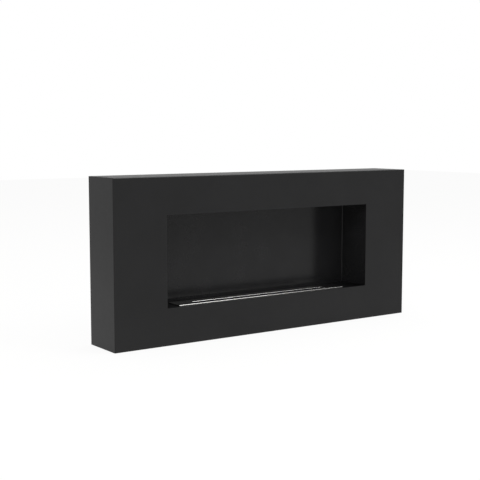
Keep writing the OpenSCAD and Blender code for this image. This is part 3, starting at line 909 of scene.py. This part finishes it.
@dataclass(frozen=True)
class Softbox:
    """A square lamp: where it hangs, the point that it faces, its side in metres and its watts."""

    name: str
    place: Point
    target: Point
    side: float
    power: float

    def hang(self) -> None:
        """Hangs the lamp in the scene."""
        data = bpy.data.lights.new(self.name, "AREA")
        data.shape = "SQUARE"
        data.size = self.side
        data.energy = self.power
        lamp = bpy.data.objects.new(self.name, data)
        lamp.location = self.place
        lamp.rotation_euler = (Vector(self.target) - Vector(self.place)).to_track_quat("-Z", "Y").to_euler()
        bpy.context.scene.collection.objects.link(lamp)


@dataclass
class Studio:
    """A white studio: pale round the object, and dimmer behind the lens and to its right.

    The coat mirrors the studio, so the studio's tones are what sets the greys of the black faces. They
    fall from pale_tone to dim_tone as the cosine of a direction with dim_side rises from pale_until to
    dim_from.
    """

    camera_place: Point = (-1.4816, -2.0313, 0.5008)
    camera_tilt: float = 83.79
    camera_turn: float = -34.97
    camera_reach: float = 100.0
    lens: float = 74.03
    sensor: float = 36.0
    dim_side: Point = (0.62, -0.78, -0.1)
    dim_tone: float = 0.44
    pale_tone: float = 0.5
    pale_until: float = -0.5
    dim_from: float = 0.8
    ambient: float = 0.72
    floor_half: float = 8.0
    floor_glow: float = 0.9
    floor_far: float = 3.6
    floor_far_tone: float = 0.76
    floor_tint: str = "#efeeec"
    softboxes: tuple[Softbox, ...] = (
        Softbox("key_softbox", place=(-2.6, -2.4, 3.2), target=(0.0, 0.0, 0.2), side=2.4, power=60.0),
        Softbox("overhead_softbox", place=(0.6, 0.5, 3.4), target=(0.0, 0.0, 0.2), side=2.6, power=30.0),
        Softbox("edge_softbox", place=(1.2, -1.6, 2.1), target=(0.0, 0.0, 0.1), side=1.4, power=23.5),
    )

    def build(self) -> None:
        """Builds the camera, the world, the floor and the lamps."""
        bpy.context.scene.view_settings.view_transform = "Standard"
        self.camera()
        self.world()
        self.floor()
        for softbox in self.softboxes:
            softbox.hang()
        LOG.info("studio built")

    def camera(self) -> None:
        """Places the camera that the photograph was taken from."""
        data = bpy.data.cameras.new("photograph_camera")
        data.lens = self.lens
        data.sensor_width = self.sensor
        data.clip_end = self.camera_reach
        camera = bpy.data.objects.new("photograph_camera", data)
        camera.location = self.camera_place
        camera.rotation_euler = (math.radians(self.camera_tilt), 0.0, math.radians(self.camera_turn))
        bpy.context.scene.collection.objects.link(camera)
        bpy.context.scene.camera = camera

    def tone(self, tree: bpy.types.NodeTree, direction: bpy.types.NodeSocket) -> bpy.types.NodeSocket:
        """Adds the studio's tone in a direction: white to the lens, and as the walls are to a mirror.

        Args:
            tree: the world's or the floor's node tree.
            direction: the direction, of any length.

        Returns:
            The tone, where 1 is white.
        """
        unit = add_node(tree, "VectorMath", {0: direction}, operation="NORMALIZE")
        dim = Vector(self.dim_side).normalized()
        facing = add_node(tree, "VectorMath", {0: unit.outputs[0], 1: tuple(dim)}, operation="DOT_PRODUCT")
        mirrored = add_node(tree, "MapRange", {"Value": facing.outputs["Value"], "From Min": self.pale_until,
                                               "From Max": self.dim_from, "To Min": self.pale_tone,
                                               "To Max": self.dim_tone}, interpolation_type="SMOOTHSTEP")
        camera = add_node(tree, "LightPath").outputs["Is Camera Ray"]
        return add_node(tree, "Mix", {"Factor": camera, VALUE_A: mirrored.outputs["Result"],
                                      VALUE_B: 1.0}).outputs[0]

    def seen(self, tree: bpy.types.NodeTree) -> bpy.types.NodeSocket:
        """Adds a value that is 1 for the lens, for mirrors and for glass.

        Args:
            tree: the world's or the floor's node tree.

        Returns:
            The value, which is 0 for the light that falls on the object.
        """
        path = add_node(tree, "LightPath")
        mirrors = add_node(tree, "Math", {0: path.outputs["Is Glossy Ray"],
                                          1: path.outputs["Is Transmission Ray"]}, operation="MAXIMUM")
        return add_node(tree, "Math", {0: path.outputs["Is Camera Ray"], 1: mirrors.outputs[0]},
                        operation="MAXIMUM").outputs[0]

    def world(self) -> None:
        """Makes the studio's walls as a world."""
        world = bpy.data.worlds.new("white_studio")
        world.use_nodes = True
        tree = world.node_tree
        tree.nodes.clear()
        direction = add_node(tree, "TexCoord").outputs["Generated"]
        strength = add_node(tree, "Mix", {"Factor": self.seen(tree), VALUE_A: self.ambient,
                                          VALUE_B: self.tone(tree, direction)})
        backdrop = add_node(tree, "Background", {"Color": (1.0, 1.0, 1.0, 1.0),
                                                 "Strength": strength.outputs[0]})
        add_node(tree, "OutputWorld", {"Surface": backdrop.outputs[0]})
        bpy.context.scene.world = world

    def floor(self) -> None:
        """Makes the pale floor, which keeps the object's shadow."""
        half = self.floor_half
        corners = [(-half, -half, 0.0), (half, -half, 0.0), (half, half, 0.0), (-half, half, 0.0)]
        mesh = bpy.data.meshes.new("studio_floor")
        mesh.from_pydata(corners, [], [(0, 1, 2, 3)])
        floor = bpy.data.objects.new("studio_floor", mesh)
        bpy.context.scene.collection.objects.link(floor)
        material = bpy.data.materials.new("pale_painted_floor")
        material.use_nodes = True
        tree = material.node_tree
        tree.nodes.clear()
        place = add_node(tree, "TexCoord").outputs["Object"]
        matt = add_node(tree, "BsdfDiffuse", {"Color": linear(self.floor_tint)})
        away = add_node(tree, "VectorMath", {0: place}, operation="LENGTH")
        falloff = add_node(tree, "MapRange", {"Value": away.outputs["Value"], "From Min": 0.0,
                                              "From Max": self.floor_far, "To Min": 1.0,
                                              "To Max": self.floor_far_tone},
                           interpolation_type="SMOOTHSTEP")
        camera = add_node(tree, "LightPath").outputs["Is Camera Ray"]
        lit = add_node(tree, "Mix", {"Factor": camera, VALUE_A: falloff.outputs["Result"], VALUE_B: 1.0})
        toned = add_node(tree, "Math", {0: self.tone(tree, place), 1: lit.outputs[0]}, operation="MULTIPLY")
        glow = add_node(tree, "Emission", {"Strength": toned.outputs[0]})
        share = add_node(tree, "Math", {0: self.seen(tree), 1: self.floor_glow}, operation="MULTIPLY")
        mixed = add_node(tree, "MixShader", {0: share.outputs[0], 1: matt.outputs[0], 2: glow.outputs[0]})
        add_node(tree, "OutputMaterial", {"Surface": mixed.outputs[0]})
        mesh.materials.append(material)


def main() -> None:
    """Builds the studio and dresses each sub-assembly in order."""
    logging.basicConfig(level=logging.INFO, format="%(name)s: %(message)s")
    Studio().build()
    for part in (Casing(), Firebox(), RearCover(), Burner(), Damper()):
        part.dress()
        LOG.info("%s finished", type(part).__name__)


if __name__ == "__main__":
    main()
